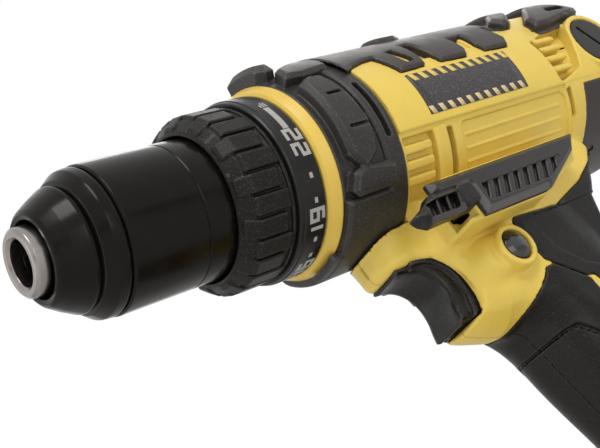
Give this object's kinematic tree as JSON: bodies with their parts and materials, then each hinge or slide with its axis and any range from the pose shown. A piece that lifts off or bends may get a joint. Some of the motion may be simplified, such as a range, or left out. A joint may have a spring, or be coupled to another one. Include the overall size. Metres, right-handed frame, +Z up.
{
  "type": "cordless drill",
  "caption": "Pistol-grip cordless drill driver with keyless chuck, ribbed torque collar, yellow motor housing, black overmoulded handle and slide-on battery pack.",
  "frame": {"origin": "centre of the battery pack's flat underside, on which the drill stands", "axes": "-X along the drill's axis, the way the chuck points; -Y out of the tool's left side; +Z up, away from the face it stands on"},
  "size_m": [0.254, 0.076, 0.244],
  "materials": {
    "housing_yellow": "fine spark-eroded grain, slightly satin",
    "trim_yellow": "satin moulded",
    "grip_rubber": "fine grained soft overmould",
    "collar_black": "coarse grained",
    "dial_black": "smooth satin with pale printed numbers",
    "sleeve_black": "smooth semi-gloss",
    "control_black": "fine grained",
    "pack_black": "fine grained",
    "chuck_steel": "satin turned steel",
    "gear_steel": "machined, oiled",
    "case_aluminium": "as cast",
    "can_steel": "zinc plated",
    "magnet_grey": "sintered ferrite",
    "core_steel": "stacked laminations",
    "copper": "machined copper",
    "brush_carbon": "pressed carbon",
    "brass": "stamped",
    "inner_plastic": "moulded nylon",
    "cell_metal": "shrink sleeve over the cell's can"
  },
  "bodies": {
    "housing": {"housing_left": "housing_yellow", "housing_right": "housing_yellow", "spine_left": "grip_rubber", "spine_right": "grip_rubber", "grip_left": "grip_rubber", "grip_right": "grip_rubber", "side_panel_left": "control_black", "side_panel_right": "control_black", "gear_collar": "collar_black", "trim_ring": "trim_yellow", "brush_caps": "control_black", "boss_plugs": "sleeve_black", "case_screws": "gear_steel", "gearbox_case": "case_aluminium", "ring_gear_output": "gear_steel", "ring_gear_input": "gear_steel", "spindle_bearings": "gear_steel", "clutch_spring": "gear_steel", "clutch_washer": "gear_steel", "clutch_balls": "gear_steel", "gearbox_cover": "inner_plastic", "motor_bearings": "gear_steel", "motor_can": "can_steel", "motor_magnets": "magnet_grey", "brush_holders": "brass", "motor_brushes": "brush_carbon", "switch_module": "inner_plastic", "terminal_block": "brass"},
    "chuck": {"chuck_body": "chuck_steel", "chuck_screw": "gear_steel", "spindle": "gear_steel", "output_carrier": "gear_steel"},
    "chuck_sleeve_set": {"chuck_sleeve": "sleeve_black", "chuck_bulge_ring": "sleeve_black", "chuck_nose_cone": "sleeve_black", "chuck_nut": "gear_steel"},
    "jaw_1": {"chuck_jaw_1": "gear_steel"},
    "jaw_2": {"chuck_jaw_2": "gear_steel"},
    "jaw_3": {"chuck_jaw_3": "gear_steel"},
    "torque_setting": {"torque_collar": "collar_black", "torque_dial": "dial_black"},
    "output_planet_gear_1": {"output_planet_1": "gear_steel"},
    "output_planet_gear_2": {"output_planet_2": "gear_steel"},
    "output_planet_gear_3": {"output_planet_3": "gear_steel"},
    "input_carrier_set": {"input_carrier": "gear_steel"},
    "input_planet_gear_1": {"input_planet_1": "gear_steel"},
    "input_planet_gear_2": {"input_planet_2": "gear_steel"},
    "input_planet_gear_3": {"input_planet_3": "gear_steel"},
    "rotor": {"rotor_shaft": "gear_steel", "rotor_core": "core_steel", "commutator": "copper", "cooling_fan": "inner_plastic"},
    "trigger_set": {"trigger": "control_black"},
    "direction_slide": {"direction_lever": "control_black"},
    "speed_slide": {"speed_selector": "control_black"},
    "battery": {"pack_lower_case": "pack_black", "pack_upper_case": "pack_black", "pack_cells": "cell_metal"},
    "latch": {"pack_latch": "collar_black"}
  },
  "joints": [
    {"name": "chuck_spin", "type": "hinge", "parent": "housing", "child": "chuck", "pos_m": [-0.132, 0, 0.205], "axis": [-1, 0, 0], "continuous": true},
    {"name": "sleeve_turn", "type": "hinge", "parent": "chuck", "child": "chuck_sleeve_set", "pos_m": [-0.132, 0, 0.205], "axis": [-1, 0, 0], "range_deg": [0, 2880]},
    {"name": "jaw_slide_1", "type": "slide", "parent": "chuck", "child": "jaw_1", "axis": [-0.9659, 0, -0.2588], "range_m": [0, 0.022]},
    {"name": "jaw_slide_2", "type": "slide", "parent": "chuck", "child": "jaw_2", "axis": [-0.9659, -0.2241, 0.1294], "range_m": [0, 0.022]},
    {"name": "jaw_slide_3", "type": "slide", "parent": "chuck", "child": "jaw_3", "axis": [-0.9659, 0.2241, 0.1294], "range_m": [0, 0.022]},
    {"name": "output_planet_spin_1", "type": "hinge", "parent": "chuck", "child": "output_planet_gear_1", "pos_m": [-0.07, 0, 0.2158], "axis": [-1, 0, 0], "continuous": true},
    {"name": "output_planet_spin_2", "type": "hinge", "parent": "chuck", "child": "output_planet_gear_2", "pos_m": [-0.07, 0.00935, 0.1996], "axis": [-1, 0, 0], "continuous": true},
    {"name": "output_planet_spin_3", "type": "hinge", "parent": "chuck", "child": "output_planet_gear_3", "pos_m": [-0.07, -0.00935, 0.1996], "axis": [-1, 0, 0], "continuous": true},
    {"name": "input_carrier_spin", "type": "hinge", "parent": "housing", "child": "input_carrier_set", "pos_m": [-0.064, 0, 0.205], "axis": [-1, 0, 0], "continuous": true},
    {"name": "input_planet_spin_1", "type": "hinge", "parent": "input_carrier_set", "child": "input_planet_gear_1", "pos_m": [-0.058, 0, 0.2158], "axis": [-1, 0, 0], "continuous": true},
    {"name": "input_planet_spin_2", "type": "hinge", "parent": "input_carrier_set", "child": "input_planet_gear_2", "pos_m": [-0.058, 0.00935, 0.1996], "axis": [-1, 0, 0], "continuous": true},
    {"name": "input_planet_spin_3", "type": "hinge", "parent": "input_carrier_set", "child": "input_planet_gear_3", "pos_m": [-0.058, -0.00935, 0.1996], "axis": [-1, 0, 0], "continuous": true},
    {"name": "rotor_spin", "type": "hinge", "parent": "housing", "child": "rotor", "pos_m": [0.018, 0, 0.205], "axis": [-1, 0, 0], "continuous": true},
    {"name": "torque_turn", "type": "hinge", "parent": "housing", "child": "torque_setting", "pos_m": [-0.092, 0, 0.205], "axis": [-1, 0, 0], "range_deg": [0, 290]},
    {"name": "trigger_pull", "type": "slide", "parent": "housing", "child": "trigger_set", "axis": [1, 0, 0], "range_m": [0, 0.006], "stiffness_N_per_m": 800, "springref_m": -0.004},
    {"name": "direction_shift", "type": "slide", "parent": "housing", "child": "direction_slide", "axis": [0, 1, 0], "range_m": [0, 0.006]},
    {"name": "speed_shift", "type": "slide", "parent": "housing", "child": "speed_slide", "axis": [1, 0, 0], "range_m": [0, 0.008]},
    {"name": "pack_slide", "type": "slide", "parent": "housing", "child": "battery", "axis": [-1, 0, 0], "range_m": [0, 0.085]},
    {"name": "latch_press", "type": "slide", "parent": "battery", "child": "latch", "axis": [0, 0, -1], "range_m": [0, 0.003], "stiffness_N_per_m": 800, "springref_m": -0.002}
  ],
  "couplings": [
    {"joint": "output_planet_spin_1", "follows": "chuck_spin", "ratio": -2.8},
    {"joint": "output_planet_spin_2", "follows": "chuck_spin", "ratio": -2.8},
    {"joint": "output_planet_spin_3", "follows": "chuck_spin", "ratio": -2.8},
    {"joint": "input_carrier_spin", "follows": "chuck_spin", "ratio": 4.5},
    {"joint": "input_planet_spin_1", "follows": "chuck_spin", "ratio": -12.6},
    {"joint": "input_planet_spin_2", "follows": "chuck_spin", "ratio": -12.6},
    {"joint": "input_planet_spin_3", "follows": "chuck_spin", "ratio": -12.6},
    {"joint": "rotor_spin", "follows": "chuck_spin", "ratio": 20.25},
    {"joint": "jaw_slide_1", "follows": "sleeve_turn", "m_per_rad": 0.00043767},
    {"joint": "jaw_slide_2", "follows": "sleeve_turn", "m_per_rad": 0.00043767},
    {"joint": "jaw_slide_3", "follows": "sleeve_turn", "m_per_rad": 0.00043767}
  ]
}
